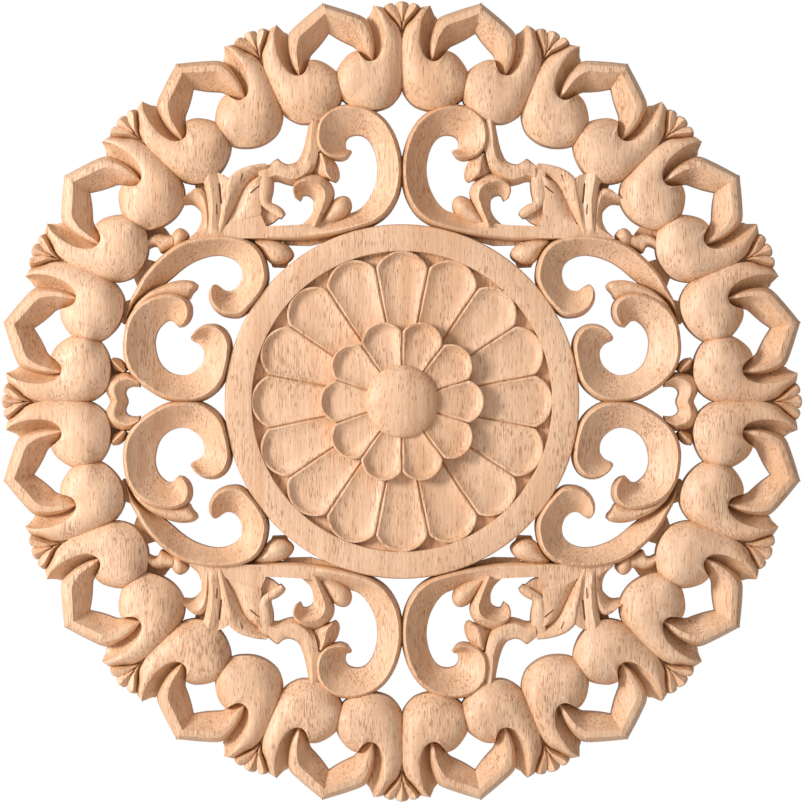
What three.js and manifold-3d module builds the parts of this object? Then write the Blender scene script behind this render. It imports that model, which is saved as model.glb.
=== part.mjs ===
import * as THREE from 'three';
import { mergeVertices } from 'three/addons/utils/BufferGeometryUtils.js';
import Module from 'manifold-3d';

// A round pierced wood applique, carved in one board. The carving is drawn flat,
// x to the right, y up and z out from the wall, and the finished piece is turned
// so that its flat back lies on the plane y = 0 with its face towards -Y.

// Driving dimensions in millimetres
const span = 300; // across two opposite arch points
const thickness = 20; // from the flat back to the top of the centre boss

// Counts of what repeats round the centre
const archCount = 16;
const outerPetalCount = 16;
const innerPetalCount = 10;

// The carving's plan is drawn for this span and this number of arches
const drawnSpan = 300;
const drawnArchCount = 16;
const unit = span / drawnSpan;

// Heights above the back, as shares of the thickness
const webLevel = 0.34;
const edgeLevel = 0.4;
const limbLevel = 0.7;
const scrollLevel = 0.72;
const leafLevel = 0.7;
const bandLevel = 0.66;
const petalRimLevel = 0.7;
const petalDishLevel = 0.5;
const innerPetalRimLevel = 0.82;
const innerPetalDishLevel = 0.68;
const bossRimLevel = 0.8;

// Radii of the rosette, as drawn
const rosetteRadius = 65.5;
const rosetteBandWidth = 10;
const outerPetalTipRadius = 55.2;
const outerPetalCuspRadius = 50;
const innerPetalTipRadius = 29.2;
const innerPetalCuspRadius = 26.3;
const bossRadius = 13.5;
const crestInset = 2.3; // from a scroll's outer edge to its crest
const planing = 1; // the forms start this far below the back, which is then planed flat

const wasm = await Module();
wasm.setup();

function solidOf(geometry) {
  const vertProperties = new Float32Array(geometry.attributes.position.array);
  const triVerts = new Uint32Array(geometry.index.array);
  return new wasm.Manifold(new wasm.Mesh({ numProp: 3, vertProperties, triVerts }));
}

function geometryOf(points, faces) {
  const geometry = new THREE.BufferGeometry();
  geometry.setAttribute('position', new THREE.Float32BufferAttribute(points.flat(), 3));
  geometry.setIndex(faces.flat());
  return geometry;
}

// A copy of a geometry moved by a matrix, its faces turned back where the matrix mirrors
function placed(geometry, matrix) {
  const copy = geometry.clone().applyMatrix4(matrix);
  if (matrix.determinant() < 0) {
    const index = copy.index.array;
    for (let i = 0; i < index.length; i += 3) {
      [index[i], index[i + 1]] = [index[i + 1], index[i]];
    }
  }
  return copy;
}

// A relief band between two edges. Each station is a pair of points, one on each
// edge, and section(width, along) gives its heights as [share across, share of thickness].
function band(stations, steps, section) {
  const first = new THREE.SplineCurve(stations.map((s) => new THREE.Vector2(s[0], s[1])));
  const second = new THREE.SplineCurve(stations.map((s) => new THREE.Vector2(s[2], s[3])));
  const points = [];
  const faces = [];
  let rows = 0;
  for (let i = 0; i <= steps; i++) {
    const a = first.getPoint(i / steps);
    const b = second.getPoint(i / steps);
    const heights = section(a.distanceTo(b), i / steps);
    rows = heights.length + 2;
    points.push([a.x * unit, a.y * unit, -planing]);
    for (const [share, level] of heights) {
      const p = a.clone().lerp(b, share);
      points.push([p.x * unit, p.y * unit, level * thickness]);
    }
    points.push([b.x * unit, b.y * unit, -planing]);
  }
  for (let i = 0; i < steps; i++) {
    for (let j = 0; j < rows; j++) {
      const k = (j + 1) % rows;
      const [p, q] = [i * rows + j, i * rows + k];
      const [r, s] = [(i + 1) * rows + j, (i + 1) * rows + k];
      faces.push([p, r, q], [q, r, s]);
    }
  }
  const last = steps * rows;
  for (let j = 1; j < rows - 1; j++) {
    faces.push([0, j, j + 1], [last, last + j + 1, last + j]);
  }
  return outward(geometryOf(points, faces));
}

// A rounded mound on a closed outline, with its top at one point
function mound(outline, count, top, topLevel, rings) {
  const curve = new THREE.CatmullRomCurve3(outline.map((p) => new THREE.Vector3(p[0], p[1], 0)), true, 'catmullrom', 0.5);
  const points = [[top[0] * unit, top[1] * unit, -planing]];
  const faces = [];
  const shares = [[1, -planing / thickness], ...rings];
  for (const [share, level] of shares) {
    for (let i = 0; i < count; i++) {
      const p = curve.getPoint(i / count);
      points.push([
        (top[0] + (p.x - top[0]) * share) * unit,
        (top[1] + (p.y - top[1]) * share) * unit,
        level * thickness,
      ]);
    }
  }
  points.push([top[0] * unit, top[1] * unit, topLevel * thickness]);
  const crown = points.length - 1;
  const topRing = 1 + (shares.length - 1) * count;
  for (let i = 0; i < count; i++) {
    const k = (i + 1) % count;
    faces.push([0, 1 + k, 1 + i], [topRing + i, topRing + k, crown]);
    for (let ring = 0; ring < shares.length - 1; ring++) {
      const [p, q] = [1 + ring * count + i, 1 + ring * count + k];
      faces.push([p, q, q + count], [p, q + count, p + count]);
    }
  }
  return outward(geometryOf(points, faces));
}

// A low flat web on an outline
function plate(outline) {
  const count = outline.length;
  const points = [-planing, webLevel * thickness].flatMap((z) => outline.map(([x, y]) => [x * unit, y * unit, z]));
  const faces = [];
  for (let i = 0; i < count; i++) {
    const k = (i + 1) % count;
    faces.push([i, k, i + count], [k, k + count, i + count]);
    if (i > 0 && k > 0) {
      faces.push([0, k, i], [count, count + i, count + k]);
    }
  }
  return outward(geometryOf(points, faces));
}

// Turns the faces of a closed geometry so that they point out
function outward(geometry) {
  const position = geometry.attributes.position;
  const index = geometry.index.array;
  let volume = 0;
  const [a, b, c] = [new THREE.Vector3(), new THREE.Vector3(), new THREE.Vector3()];
  for (let i = 0; i < index.length; i += 3) {
    a.fromBufferAttribute(position, index[i]);
    b.fromBufferAttribute(position, index[i + 1]);
    c.fromBufferAttribute(position, index[i + 2]);
    volume += a.dot(b.cross(c));
  }
  if (volume < 0) {
    for (let i = 0; i < index.length; i += 3) {
      [index[i], index[i + 1]] = [index[i + 1], index[i]];
    }
  }
  return geometry;
}

// How far a form has risen from an end: 0 at the end, 1 from `run` onwards
function rise(along, run) {
  return run > 0 ? Math.sin(Math.min(along / run, 1) * Math.PI / 2) : 1;
}

// Across a scroll: a steep outer side, a round crest and a hollow channel
function scrollSection(startRun, endRun, full = scrollLevel) {
  return (width, along) => {
    const lift = 0.55 + 0.45 * rise(along, startRun) * rise(1 - along, endRun);
    const crest = Math.min(crestInset / width, 0.3);
    return [[0, edgeLevel * lift], [crest, full * lift], [1, edgeLevel * lift]];
  };
}

// Across a leaf or strap: both sides round, the middle nearly flat
function leafSection(startRun, endRun, full = leafLevel) {
  return (width, along) => {
    const lift = 0.6 + 0.4 * rise(along, startRun) * rise(1 - along, endRun);
    return [[0, edgeLevel * lift], [0.4, full * lift], [1, edgeLevel * lift]];
  };
}

// One side of the bud pair under each crown: a horn that widens into a round bulb.
// Beside the edges, each station has the height and the height of its inner edge.
const bulbStations = [
  [9.6, 146.6, 10.9, 145.6], [2.4, 140.6, 6.4, 138], [0, 133, 6.2, 131.8], [0, 119, 10.6, 125.6],
  [5, 108.4, 15, 127.6], [15.4, 106.7, 20, 128], [23.2, 112.6, 24.4, 119.4],
];
const bulbHeights = [
  [0.55, 0.5], [0.7, 0.68], [0.75, 0.72], [0.82, 0.74], [0.85, 0.66], [0.82, 0.4], [0.55, 0.4],
];

function bulbSection(width, along) {
  const place = along * (bulbHeights.length - 1);
  const i = Math.min(Math.floor(place), bulbHeights.length - 2);
  const full = THREE.MathUtils.lerp(bulbHeights[i][0], bulbHeights[i + 1][0], place - i);
  const inner = THREE.MathUtils.lerp(bulbHeights[i][1], bulbHeights[i + 1][1], place - i);
  return [[0, edgeLevel], [0.36, full], [1, inner]];
}

// One limb of a pointed arch, from its foot beside the horn up to the arch point
const limbStations = [
  [7.5, 124.6, 14, 125.4], [5, 133, 16, 129.4], [12.2, 141, 19.8, 131.6], [29.5, 147.3, 27.3, 136],
];

function limbSection(width, along) {
  const foot = 1 - rise(along, 0.65);
  const side = THREE.MathUtils.lerp(edgeLevel, webLevel, foot);
  return [[0, side], [0.28 + 0.3 * foot, limbLevel * (1 - 0.12 * foot)], [1, edgeLevel]];
}

// The crown between two horns: a middle lobe and one lobe on each side
const crownOutline = [
  [0, 147.7], [2.8, 145.6], [5, 147], [8.6, 145.4], [0, 137], [-8.6, 145.4], [-5, 147], [-2.8, 145.6],
];

// Carving that stands once in each quarter of the field between ring and rosette
const topScroll = [
  [60, 60.2, 60, 64.4], [38, 59.6, 38.5, 65.3], [22, 61.9, 24.5, 67.6], [9.6, 65.8, 15.8, 71.2],
  [2, 74.6, 11, 77.6], [-0.4, 87, 9, 86.5], [2.6, 99.5, 11.6, 96], [10.5, 107.8, 15.2, 98.8],
  [22, 109.9, 18.9, 98.5], [30.8, 103, 20.9, 96.2], [30.4, 93, 20.2, 93.6], [24, 89.2, 19.1, 93.1],
  [20, 90.3, 18.7, 92.3],
];
const stem = [
  [33.6, 106, 30.6, 105], [34.8, 98, 31.2, 97.5], [37.2, 91.2, 31, 90.2], [41.6, 88.5, 33.4, 83.6],
  [45, 89.9, 41, 81], [47.6, 88.6, 48.5, 81.5],
];
const curl = [
  [29.6, 63.8, 37.5, 64.6], [26.2, 72, 32.9, 69.7], [25.1, 79.6, 32.3, 73.8], [29.6, 83.9, 33.6, 76],
  [37, 82.8, 35.2, 75.8], [40, 78.4, 36.3, 74.7], [39, 75.2, 37, 74.2],
];
const sideScroll = [
  [70.4, 42.8, 69.3, 43.5], [71.4, 38.6, 67.6, 42.4], [67, 32, 64.7, 41], [58.6, 31.8, 61.7, 41.9],
  [50.8, 41, 59.5, 45.8], [49.8, 51.5, 59.9, 50], [54.7, 58.6, 62.3, 52.7], [66, 61.8, 67.5, 54.3],
  [78, 60.5, 74, 53.2], [88.5, 54.6, 81.7, 49], [96.5, 46, 89, 42.6], [101.3, 36.5, 98.3, 35.6],
  [102.6, 30, 101, 29.6],
];
const sideShell = [
  [81, 27.7, 82.6, 27.4], [77.9, 32, 84.6, 29.5], [80, 38.5, 86.5, 30], [89, 39.9, 88.2, 29.1],
  [99, 34.5, 90.4, 26.6], [103.5, 22, 91.7, 21.5], [101.8, 12.3, 90.6, 16], [93.5, 3.8, 87.6, 11.8],
  [81, -0.6, 82.6, 9.7], [69, 3.2, 77.5, 10.8], [64, 12, 74, 14.3], [63.2, 22.2, 73.4, 18.8],
  [69, 28.7, 75.3, 21.4], [76.3, 26.4, 77.6, 22.5], [78.1, 24.2, 78.3, 23.1],
];
const husk = [
  [75.6, 43, 75.9, 41.8], [78.5, 44.8, 78, 39], [85, 44.4, 84.5, 38.6], [93.5, 40.6, 94, 35.8], [101, 31.8, 100.6, 29.8],
];
const sideLobe = [
  [99.4, 9.8, 96.6, 5.2], [105.2, 11, 101.4, 5.4], [109.6, 6.6, 102.2, 2.8], [108.8, 1.8, 101.5, 0.2],
  [108.2, -0.4, 101.5, -0.4],
];
const smallHook = [[85.2, 61.8, 85, 57], [89.4, 62.2, 89.2, 54.8], [94.2, 60, 92.2, 57.5], [97, 57.4, 95.6, 55.6]];

// The leaf's lobes, each from its root beside the strap to its tip
const leafLobes = [
  [[66, 60.8, 66, 65], [58, 62, 59, 67.6], [51, 64.2, 53, 70.8], [45, 67.6, 46.4, 73.4], [42.8, 69, 43.4, 70.4]],
  [[58, 62.6, 66.4, 61], [51, 70.6, 60.4, 71.4], [47.2, 78.4, 55.8, 79.6], [46.2, 85, 50.4, 84.8], [47.6, 88.2, 48.8, 87.8]],
  [[65.6, 61.4, 70, 61.6], [60.6, 71.4, 64.9, 72.4], [54.2, 80.6, 62.6, 83], [47.6, 88, 52, 88.1]],
  [[65.6, 61, 72.4, 61], [63.8, 72.6, 69.6, 73], [62.2, 82.2, 71.6, 81.4], [66.4, 86, 69.6, 86]],
  [[68.6, 60.4, 79.4, 60], [69, 69.6, 74.1, 68.2], [71, 77.6, 76.4, 73.3], [77.6, 78.6, 79.6, 73.6], [81, 76.6, 81.6, 74.8]],
];

// Buds, pods and low webs, each an outline with its top point
const buds = [
  { outline: [[29.9, 90.8], [29, 86.4], [24.6, 81.9], [22.6, 86], [23.4, 90.6]], top: [25.8, 87], level: 0.66 },
  { outline: [[30.5, 64.6], [26.2, 71], [23, 75.6], [18.6, 75], [19, 70.2], [23.6, 66]], top: [22.5, 71.5], level: 0.62 },
  { outline: [[79.2, 60.8], [81.6, 64.2], [84.6, 62.6], [85.6, 57], [81, 56.6]], top: [82.4, 60.6], level: 0.62 },
  { outline: [[40.2, 54.2], [43.4, 58.6], [55, 60.6], [51.4, 53.6], [46.8, 50.7], [42, 51.9]], top: [46.4, 54.8], level: 0.64 },
  { outline: [[101.4, 11], [103.4, 15.4], [106.9, 16.2], [106.8, 12.2], [103.6, 8.6]], top: [104.4, 13], level: 0.6 },
];
const webs = [
  [[31, 92], [27, 82], [36, 82], [34, 90]],
  [[90, 51.5], [95, 53], [99.5, 46], [98, 42], [94, 47]],
  [[100, 38], [102.5, 37.2], [105.5, 31], [103.2, 28.6], [100, 30]],
  [[84, 59], [88, 64.5], [97, 67], [98, 56], [92, 58.5]],
  [[102, 9], [107, 16.4], [111, 12], [109, 6]],
  [[69, 75], [70, 84], [76.5, 81], [75, 77]],
  [[43, 49.6], [48, 49.8], [49.4, 53], [41, 54]],
];

function ringMotif() {
  const parts = [
    band(bulbStations, 6, bulbSection),
    band(limbStations, 3, limbSection),
  ];
  const mirror = new THREE.Matrix4().makeScale(-1, 1, 1);
  const crown = mound(crownOutline, 8, [0, 143.5], limbLevel, [[1, edgeLevel]]);
  return [...parts, ...parts.map((part) => placed(part, mirror)), crown];
}

// Turns the drawn motif, made for one share of the circle, to the share that a count gives
function squeezed(geometry, share) {
  const position = geometry.attributes.position;
  for (let i = 0; i < position.count; i++) {
    const radius = Math.hypot(position.getX(i), position.getY(i));
    const angle = Math.atan2(position.getX(i), position.getY(i)) * share;
    position.setX(i, radius * Math.sin(angle));
    position.setY(i, radius * Math.cos(angle));
  }
  return geometry;
}

function ring() {
  const motif = ringMotif().map((part) => squeezed(part, drawnArchCount / archCount));
  const placedParts = [];
  for (let i = 0; i < archCount; i++) {
    const turn = new THREE.Matrix4().makeRotationZ(-i * 2 * Math.PI / archCount);
    placedParts.push(...motif.map((part) => placed(part, turn)));
  }
  return placedParts;
}

function field() {
  const quarter = [
    band(topScroll, 11, scrollSection(0, 0.06)),
    band(stem, 4, leafSection(0, 0)),
    band(curl, 6, scrollSection(0, 0.1)),
    band(sideScroll, 11, scrollSection(0.06, 0.3)),
    band(sideShell, 12, scrollSection(0.05, 0.06)),
    band(husk, 3, leafSection(0.2, 0, 0.6)),
    band(sideLobe, 3, leafSection(0, 0)),
    band(smallHook, 2, leafSection(0, 0, 0.56)),
    ...leafLobes.map((lobe) => band(lobe, 3, leafSection(0, 0.2))),
    ...buds.map(({ outline, top, level }) => mound(outline, outline.length, top, level, [[1, edgeLevel * 0.9]])),
    ...webs.map(plate),
  ];
  const placedParts = [];
  for (const across of [1, -1]) {
    for (const up of [1, -1]) {
      const matrix = new THREE.Matrix4().makeScale(across, up, 1);
      placedParts.push(...quarter.map((part) => placed(part, matrix)));
    }
  }
  return placedParts;
}

// A disc of petals: its edge is a row of round tips, each petal dished inside a raised rim
function petalDisc(count, stepsPerPetal, tipRadius, cuspRadius, rimLevel, dishLevel, turn) {
  const steps = count * stepsPerPetal;
  const points = [[0, 0, -planing], [0, 0, dishLevel * thickness]];
  const faces = [];
  const rows = [[1, 0], [1, 0.62], [0.92, 1], [0.6, 0.1]];
  for (let i = 0; i < steps; i++) {
    const angle = turn + i * 2 * Math.PI / steps;
    const across = 2 * ((i % stepsPerPetal) / stepsPerPetal) - 1;
    const edge = cuspRadius + (tipRadius - cuspRadius) * Math.sqrt(1 - across * across);
    const groove = Math.abs(across) > 0.9 ? 0.86 : 1;
    for (const [share, lift] of rows) {
      const level = THREE.MathUtils.lerp(dishLevel, rimLevel, lift) * groove;
      const height = lift === 0 ? -planing : level * thickness;
      points.push([edge * share * unit * Math.sin(angle), edge * share * unit * Math.cos(angle), height]);
    }
  }
  for (let i = 0; i < steps; i++) {
    const a = 2 + i * rows.length;
    const b = 2 + ((i + 1) % steps) * rows.length;
    const lastRow = rows.length - 1;
    faces.push([0, a, b], [1, b + lastRow, a + lastRow]);
    for (let row = 0; row < lastRow; row++) {
      faces.push([a + row, a + row + 1, b + row], [b + row, a + row + 1, b + row + 1]);
    }
  }
  return outward(geometryOf(points, faces));
}

// The turned forms of the rosette, as closed grids about the z axis
function turned(profile, segments) {
  const points = [];
  const faces = [];
  for (let i = 0; i < segments; i++) {
    const angle = i * 2 * Math.PI / segments;
    for (const [radius, level] of profile) {
      points.push([radius * unit * Math.sin(angle), radius * unit * Math.cos(angle), level * thickness]);
    }
  }
  const rows = profile.length;
  for (let i = 0; i < segments; i++) {
    const a = i * rows;
    const b = ((i + 1) % segments) * rows;
    for (let row = 0; row < rows; row++) {
      const next = (row + 1) % rows;
      faces.push([a + row, a + next, b + row], [b + row, a + next, b + next]);
    }
  }
  return outward(geometryOf(points, faces));
}

function rosette() {
  const inner = rosetteRadius - rosetteBandWidth;
  const foot = -planing / thickness;
  const rim = [
    [inner - 8, foot], [inner - 8, webLevel], [inner, webLevel], [inner, bandLevel],
    [rosetteRadius, bandLevel], [rosetteRadius, foot],
  ];
  const boss = [];
  const bossCount = 16;
  for (let i = 0; i < bossCount; i++) {
    const angle = i * 2 * Math.PI / bossCount;
    boss.push([bossRadius * Math.sin(angle), bossRadius * Math.cos(angle)]);
  }
  const bossRings = [[1, bossRimLevel], [0.7, 0.96]];
  return [
    turned(rim, 40),
    mound(boss, bossCount, [0, 0], 1, bossRings),
    petalDisc(outerPetalCount, 4, outerPetalTipRadius, outerPetalCuspRadius, petalRimLevel, petalDishLevel, -Math.PI / outerPetalCount),
    petalDisc(innerPetalCount, 4, innerPetalTipRadius, innerPetalCuspRadius, innerPetalRimLevel, innerPetalDishLevel, 0),
  ];
}

function applique() {
  const solids = [...rosette(), ...field(), ...ring()].map(solidOf);
  const block = new THREE.BoxGeometry(2 * span, 2 * span, 4 * planing).toNonIndexed();
  block.deleteAttribute('normal');
  block.deleteAttribute('uv');
  const below = mergeVertices(block.translate(0, 0, -2 * planing));
  const whole = solids.reduce((joined, solid) => joined.add(solid)).subtract(solidOf(below));
  const mesh = whole.getMesh();
  const geometry = new THREE.BufferGeometry();
  geometry.setAttribute('position', new THREE.BufferAttribute(mesh.vertProperties, 3));
  geometry.setIndex(new THREE.BufferAttribute(mesh.triVerts, 1));
  geometry.computeVertexNormals();
  const wood = new THREE.MeshStandardMaterial({ color: 0xdcb08a, roughness: 0.62, metalness: 0 });
  const carved = new THREE.Mesh(geometry, wood);
  carved.name = 'applique';
  carved.rotation.x = Math.PI / 2;
  return carved;
}

const part = new THREE.Group();
part.add(applique());

export default part;
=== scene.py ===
"""Looks of the round pierced wood applique, carved in one edge-glued board."""

from math import cos, hypot, pi, radians, sin, sqrt

import bmesh
import bpy
from bpy.props import FloatProperty, FloatVectorProperty, IntProperty, PointerProperty
from mathutils import Matrix, Vector


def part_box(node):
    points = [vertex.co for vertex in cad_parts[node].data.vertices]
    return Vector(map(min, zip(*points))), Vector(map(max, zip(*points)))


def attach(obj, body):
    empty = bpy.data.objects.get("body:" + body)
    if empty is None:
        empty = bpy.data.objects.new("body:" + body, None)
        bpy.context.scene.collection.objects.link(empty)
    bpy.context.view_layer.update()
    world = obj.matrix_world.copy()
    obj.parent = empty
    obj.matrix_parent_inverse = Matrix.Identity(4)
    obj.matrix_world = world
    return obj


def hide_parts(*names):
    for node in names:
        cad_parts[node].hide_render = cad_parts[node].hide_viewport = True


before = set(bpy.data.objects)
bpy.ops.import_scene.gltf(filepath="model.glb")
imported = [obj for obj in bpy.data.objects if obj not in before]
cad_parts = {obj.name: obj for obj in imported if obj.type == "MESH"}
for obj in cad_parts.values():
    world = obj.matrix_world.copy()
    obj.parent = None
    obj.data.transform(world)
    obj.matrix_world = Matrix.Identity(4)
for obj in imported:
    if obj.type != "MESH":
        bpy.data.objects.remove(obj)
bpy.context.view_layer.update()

bl_info = {
    "name": "Carved wood applique",
    "version": (1, 0, 0),
    "blender": (4, 5, 0),
    "location": "3D View > Sidebar > Applique",
    "description": "Carves a round pierced applique and finishes it as bare wood",
    "category": "Object",
}

NODE = "applique"
VIEW_WIDTH = 0.2977  # what the picture takes in across, in metres
BOX_LOW, BOX_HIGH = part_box(NODE)

# The plan is drawn in millimetres, x to the right and y up, for this width and
# thickness, and scaled to the solid.
DRAWN_WIDTH = 295.4
DRAWN_THICKNESS = 20.0
PLAN_SCALE = (BOX_HIGH[0] - BOX_LOW[0]) / DRAWN_WIDTH
DEPTH_SCALE = (BOX_HIGH[1] - BOX_LOW[1]) / DRAWN_THICKNESS

BELOW = -1.0  # the forms start below the back, which is then planed flat
DRAFT = 0.2  # how far the sides lean out down to the back
NARROWEST = 0.4  # a narrower band end leans out as one of this width
BUD_RADIUS = 6.0  # turns the draft of a round bud into a share of its outline


class CarvingSizes(bpy.types.PropertyGroup):
    """Heights of the carving above its back, in drawn millimetres, and its counts."""

    arches: IntProperty(name="Arches", description="Arches round the outer ring", default=16, min=4)
    outer_petals: IntProperty(name="Outer petals", description="Petals inside the band", default=16, min=4)
    inner_petals: IntProperty(name="Inner petals", description="Petals round the boss", default=10, min=4)
    side: FloatProperty(name="Side", description="Height of a form's side", default=7.8)
    web: FloatProperty(name="Web", description="Height of the webs that close blind hollows", default=5.6)
    limb: FloatProperty(name="Arch limb", description="Height of an arch's ridge", default=14.2)
    bulb: FloatProperty(name="Bulb", description="Height of a bulb", default=17.2)
    scroll: FloatProperty(name="Scroll", description="Height of a scroll's rim", default=14.6)
    channel: FloatProperty(name="Channel", description="Height of a scroll's hollow", default=7.4)
    band: FloatProperty(name="Rosette band", description="Height of the flat band", default=13.2)
    recess: FloatProperty(name="Recess", description="Height of the ground behind the petals", default=9.6)
    petal: FloatProperty(name="Outer petal", description="Height of an outer petal's rim", default=12.7)
    inner_petal: FloatProperty(
        name="Inner petal", description="Height of an inner petal's rim", default=16.2
    )


class WoodFinish(bpy.types.PropertyGroup):
    """Colours and sheen of the bare wood, and the colour of its painted shade."""

    pale: FloatVectorProperty(
        name="Pale wood", description="Lightest grain", subtype="COLOR", default=(0.8, 0.536, 0.357)
    )
    warm: FloatVectorProperty(
        name="Warm wood", description="Darkest grain", subtype="COLOR", default=(0.64, 0.36, 0.2)
    )
    pore: FloatVectorProperty(
        name="Pores", description="Open vessels of the wood", subtype="COLOR", default=(0.3, 0.12, 0.045)
    )
    # The hollow colour is painted shade: it darkens the hollows, the steep sides and the parts near the
    # back.
    hollow: FloatVectorProperty(
        name="Hollows", description="Wood in the hollows", subtype="COLOR", default=(0.55, 0.285, 0.064)
    )
    roughness: FloatProperty(
        name="Roughness", description="Roughness of the face", subtype="FACTOR", default=0.5, min=0, max=1
    )


class StageSettings(bpy.types.PropertyGroup):
    """Camera, light and floor."""

    distance: FloatProperty(
        name="Camera distance", description="From the back face to the camera", unit="LENGTH", default=1.7
    )
    key_power: FloatProperty(
        name="Key light", description="Power of the key light", unit="POWER", default=21.5
    )
    fill: FloatProperty(name="Fill", description="Strength of the surrounding light", default=0.385)
    floor_drop: FloatProperty(
        name="Floor drop", description="From the centre down to the floor", unit="LENGTH", default=0.5
    )


def cubic(a, b, c, d, t):
    """The point share t along the smooth curve from b to c that comes from a and goes to d."""
    return tuple(
        0.5 * (2 * q + (r - p) * t + (2 * p - 5 * q + 4 * r - s) * t * t + (3 * q - p - 3 * r + s) * t ** 3)
        for p, q, r, s in zip(a, b, c, d)
    )


def spline(points, share):
    """A point on the smooth curve through the points, share 0 to 1 along it."""
    last = len(points) - 1
    i = min(int(share * last), last - 1)
    return cubic(points[max(i - 1, 0)], points[i], points[i + 1], points[min(i + 2, last)], share * last - i)


def loop_spline(points, share):
    """A point on the smooth closed curve through the points."""
    i = int(share * len(points))
    neighbours = (points[(i + k) % len(points)] for k in (-1, 0, 1, 2))
    return cubic(*neighbours, share * len(points) - i)


def round_over(share, power=0.5):
    """Height share of a rounded side, 0 at its foot and 1 at its top. A power of a
    half is a quarter circle and 1 a parabola."""
    x = 1 - min(max(share, 0), 1)
    return max(0.0, 1 - x * x) ** power


def rise(along, run):
    """How far a form has risen, 0 at its end and 1 from run onwards."""
    return sin(min(along / run, 1) * pi / 2) if run else 1.0


def band(stations, steps, section, lift=None):
    """A closed relief band. Each station is a point on one edge and a point on the
    other; section(width, along) gives the heights across as (share, height), and
    lift(x, y, height) may raise them."""
    vertices, faces = [], []
    for i in range(steps + 1):
        along = i / steps
        ax, ay, bx, by = spline(stations, along)
        width = hypot(bx - ax, by - ay)
        lean = DRAFT / max(width, NARROWEST)
        rows = section(width, along)
        shares = [-lean] + [share for share, _ in rows] + [1 + lean]
        heights = [BELOW] + [height for _, height in rows] + [BELOW]
        for share, height in zip(shares, heights):
            x = ax + (bx - ax) * share
            y = ay + (by - ay) * share
            if lift and height != BELOW:
                height = lift(x, y, height)
            vertices.append((x, y, height))
    count = len(vertices) // (steps + 1)
    for i in range(steps):
        for j in range(count):
            k = (j + 1) % count
            a, b = i * count, (i + 1) * count
            faces.append((a + j, b + j, b + k, a + k))
    faces.append(tuple(range(count)))
    faces.append(tuple(range(steps * count, (steps + 1) * count))[::-1])
    return vertices, faces


def mound(outline, count, top, section):
    """A closed mound on an outline, with its top over one point; section gives
    (share of the way out, height) from the side inwards."""
    rows = [(1.0 + DRAFT / BUD_RADIUS, BELOW)] + section
    vertices, faces = [], []
    for share, height in rows:
        for i in range(count):
            x, y = loop_spline(outline, i / count)
            vertices.append((top[0] + (x - top[0]) * share, top[1] + (y - top[1]) * share, height))
    for row in range(len(rows) - 1):
        for i in range(count):
            k = (i + 1) % count
            a, b = row * count, (row + 1) * count
            faces.append((a + i, a + k, b + k, b + i))
    faces.append(tuple(range(count))[::-1])
    last = (len(rows) - 1) * count
    faces.append(tuple(range(last, last + count)))
    return vertices, faces


MOUND_RINGS = 7
MOUND_TOP = 0.35  # the flat top of a round mound, in steps between its rings


def dome_section(side, height):
    """The rows of a round mound from its side to just short of its top."""
    rows = []
    for i in range(MOUND_RINGS + 1):
        angle = i / (MOUND_RINGS + MOUND_TOP) * pi / 2
        rows.append((cos(angle), side + (height - side) * sin(angle)))
    return rows


def square(half):
    """The corners of a square about the centre."""
    return [(-half, -half), (half, -half), (half, half), (-half, half)]


def plate(outline, height):
    """A flat web on an outline of straight sides."""
    count = len(outline)
    vertices = [(x, y, z) for z in (BELOW, height) for x, y in outline]
    faces = [(i, (i + 1) % count, (i + 1) % count + count, i + count) for i in range(count)]
    faces += [tuple(range(count))[::-1], tuple(range(count, 2 * count))]
    return vertices, faces


def mesh_of(name, form, across=1, up=1):
    """A closed triangle mesh of a form, mirrored across or up, its faces pointing out."""
    vertices, faces = form
    mesh = bpy.data.meshes.new(name)
    mesh.from_pydata([(x * across, y * up, z) for x, y, z in vertices], [], faces)
    work = bmesh.new()
    work.from_mesh(mesh)
    bmesh.ops.remove_doubles(work, verts=work.verts, dist=1e-5)
    bmesh.ops.triangulate(work, faces=work.faces)
    bmesh.ops.recalc_face_normals(work, faces=work.faces)
    if work.calc_volume(signed=True) < 0:
        bmesh.ops.reverse_faces(work, faces=work.faces)
    work.to_mesh(mesh)
    work.free()
    return mesh


def temporary(name, mesh):
    """An object that is in the scene only while a mesh is made."""
    thing = bpy.data.objects.new(name, mesh)
    bpy.context.scene.collection.objects.link(thing)
    return thing


def evaluated_mesh(thing):
    """The mesh an object has after its modifiers."""
    graph = bpy.context.evaluated_depsgraph_get()
    mesh = bpy.data.meshes.new_from_object(thing.evaluated_get(graph))
    if not mesh.polygons:
        raise RuntimeError(f"{thing.name} came out empty")
    return mesh


def joined(name, meshes, cutter=None):
    """The union of closed meshes as one closed mesh, less an optional cutter."""
    things = [temporary(name, mesh) for mesh in meshes]
    base = things[0]
    steps = [("UNION", thing) for thing in things[1:]]
    if cutter is not None:
        things.append(temporary(name, cutter))
        steps.append(("DIFFERENCE", things[-1]))
    for operation, thing in steps:
        step = base.modifiers.new("Join", "BOOLEAN")
        step.operation = operation
        step.solver = "MANIFOLD"
        step.object = thing
    result = evaluated_mesh(base)
    for thing in things:
        bpy.data.objects.remove(thing)
    return result


# Across a scroll's rim: millimetres from its outer edge and the share of its height
RIM = ((0, 0), (0.12, 0.34), (0.4, 0.62), (0.85, 0.84), (1.3, 0.96), (1.6, 1), (1.9, 0.98), (2.2, 0.93))
RIM_CREST = 1.6
RIM_WIDTH = 2.2
RIM_SHARE = 0.45  # the most of a scroll's width that its rim takes
SCROLL_END, SCROLL_RISE = 0.62, 0.38  # shares of a scroll's height at its end and gained from there
LEVEL_TAIL = 12.3  # height where a scroll has no hollow yet


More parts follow.
